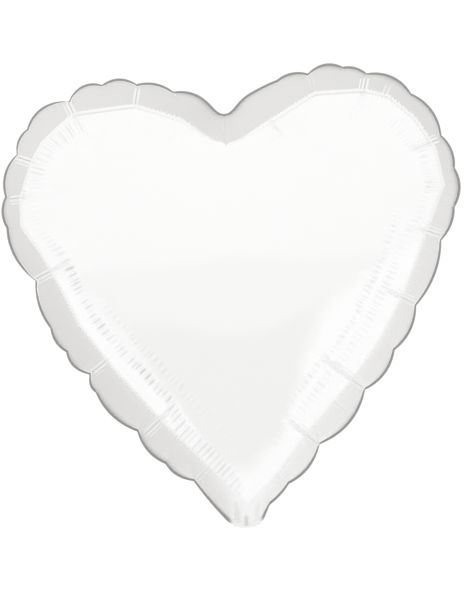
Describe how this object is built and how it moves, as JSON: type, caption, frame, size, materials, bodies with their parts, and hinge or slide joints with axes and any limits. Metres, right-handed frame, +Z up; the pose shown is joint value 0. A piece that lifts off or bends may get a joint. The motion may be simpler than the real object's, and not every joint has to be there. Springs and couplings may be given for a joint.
{
  "type": "foil balloon",
  "caption": "Inflated heart-shaped foil balloon with scalloped, creased seam, flat neck, self-sealing film valve and a tail that folds at the neck.",
  "frame": {"origin": "middle of the fold line across the neck, where the balloon is tied", "axes": "+Z up the middle of the heart to its cleft, +Y to the back, +X to the right lobe seen from the front"},
  "size_m": [0.3993, 0.168, 0.3981],
  "materials": {
    "white_foil": "glossy white coat on metallised film, silver at the cut edge, fine puckers along the seam",
    "clear_film": "clear polyethylene film, smooth and slightly milky"
  },
  "bodies": {
    "balloon": {"front_foil": "white_foil", "back_foil": "white_foil", "valve_front_film": "clear_film", "valve_back_film": "clear_film"},
    "tail": {"tail_front_foil": "white_foil", "tail_back_foil": "white_foil", "tail_valve_front_film": "clear_film", "tail_valve_back_film": "clear_film"}
  },
  "joints": [
    {"name": "tail_fold", "type": "hinge", "parent": "balloon", "child": "tail", "pos_m": [0, 0, 0], "axis": [-1, 0, 0], "range_deg": [0, 264]}
  ]
}
